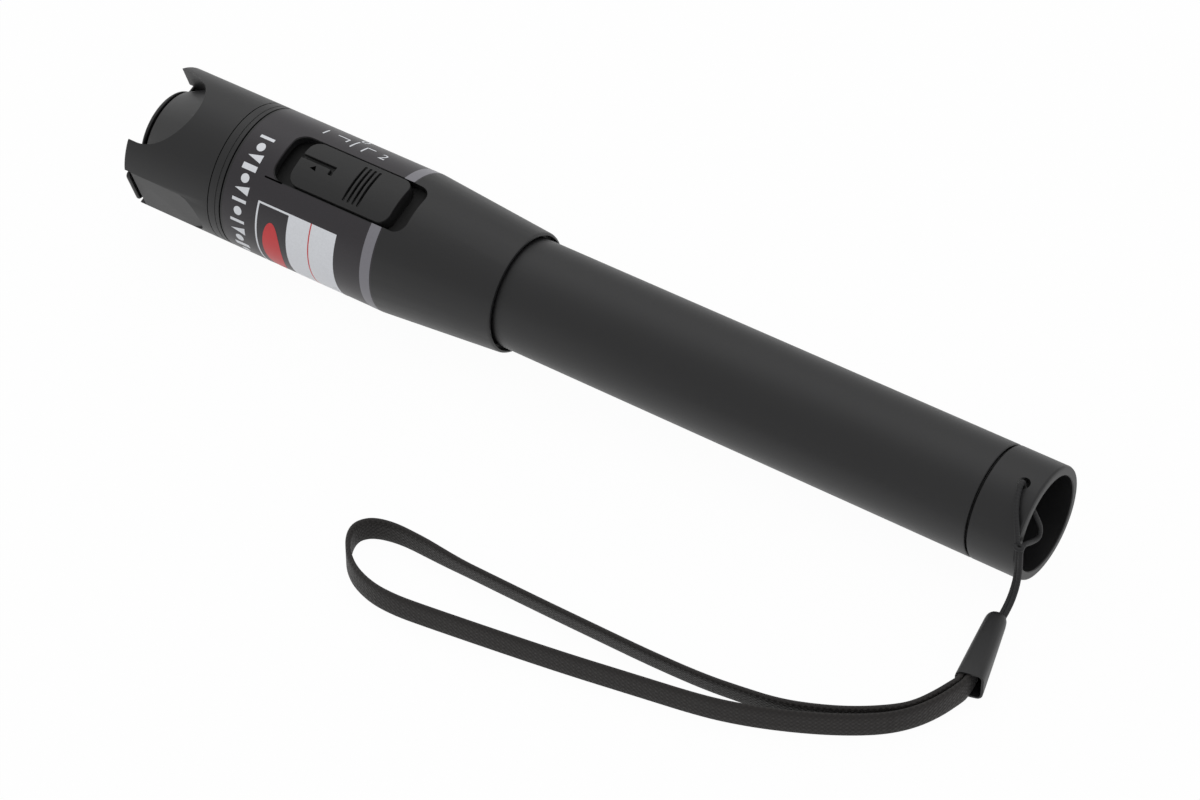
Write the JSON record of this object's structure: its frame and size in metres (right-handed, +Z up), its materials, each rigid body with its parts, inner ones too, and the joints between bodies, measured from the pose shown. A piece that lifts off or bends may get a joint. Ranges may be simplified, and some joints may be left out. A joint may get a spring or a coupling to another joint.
{
  "type": "visual fault locator",
  "caption": "Pen-type visual fault locator for optical fibre: capped ferrule port, slide switch, battery tube, screwed tail cap and a wrist lanyard.",
  "frame": {"origin": "on the floor under the middle of the tool as it lies, between the head's tips and the tail's rim", "axes": "+X along the tool from the head to the tail, +Y across the tool away from the lanyard's loop, +Z up from the floor"},
  "size_m": [0.1886, 0.0805, 0.0271],
  "materials": {
    "black_anodised": "black hard-anodised aluminium, fine satin",
    "cap_plastic": "moulded black plastic, satin",
    "slider_plastic": "moulded black plastic, fine matt",
    "film": "dark grey printed film, satin",
    "inner_plastic": "black moulded plastic",
    "port_metal": "turned stainless steel",
    "ceramic": "white zirconia ceramic",
    "brass": "turned brass",
    "optic": "polished optical glass",
    "gilt": "gold-plated can",
    "board": "green solder mask",
    "chip": "black moulded case",
    "can": "bright aluminium can",
    "trim_blue": "blue moulded case",
    "wire_red": "red wire insulation",
    "wire_black": "black wire insulation",
    "cell": "printed cell sleeve without names",
    "spring_steel": "nickel-plated spring wire",
    "seal_rubber": "black rubber",
    "woven": "woven black nylon",
    "cordage": "braided black cord",
    "clamp_plastic": "moulded black plastic"
  },
  "bodies": {
    "housing": {"head_crown": "black_anodised", "head_collar": "black_anodised", "ferrule_port": "port_metal", "ferrule_sleeve": "ceramic", "laser_housing": "brass", "focus_lens": "optic", "lens_spacer": "inner_plastic", "laser_diode": "gilt", "diode_board": "board", "lead_supply": "wire_red", "lead_return": "wire_black", "barrel": "black_anodised", "label_film": "film", "slide_plate": "inner_plastic", "slide_switch": "can", "circuit_board": "board", "driver_chip": "chip", "capacitor": "can", "trim_resistor": "trim_blue", "contact_board": "board", "front_contact": "brass", "battery_tube": "black_anodised", "battery_front": "cell", "battery_rear": "cell"},
    "slider": {"switch_slider": "slider_plastic", "switch_knob": "inner_plastic"},
    "cap": {"dust_cap": "cap_plastic"},
    "tail_carrier": {"o_ring": "seal_rubber"},
    "tail": {"tail_cap": "black_anodised", "tail_spring": "spring_steel", "lanyard_clamp": "clamp_plastic", "lanyard_string": "cordage", "wrist_strap": "woven"}
  },
  "joints": [
    {"name": "switch_slide", "type": "slide", "parent": "housing", "child": "slider", "axis": [0.9997, 0, -0.0238], "range_m": [-0.003, 0.003]},
    {"name": "cap_pull", "type": "slide", "parent": "housing", "child": "cap", "axis": [-0.9997, 0, 0.0238], "range_m": [0, 0.06]},
    {"name": "tail_lift", "type": "slide", "parent": "housing", "child": "tail_carrier", "axis": [0.9997, 0, -0.0238], "range_m": [0, 0.0076]},
    {"name": "tail_unscrew", "type": "hinge", "parent": "tail_carrier", "child": "tail", "pos_m": [0.07998, 0, 0.01024], "axis": [0.9997, 0, -0.0238], "range_deg": [0, 2160]}
  ],
  "couplings": [
    {"joint": "tail_lift", "follows": "tail_unscrew", "m_per_rad": 0.00019894}
  ]
}
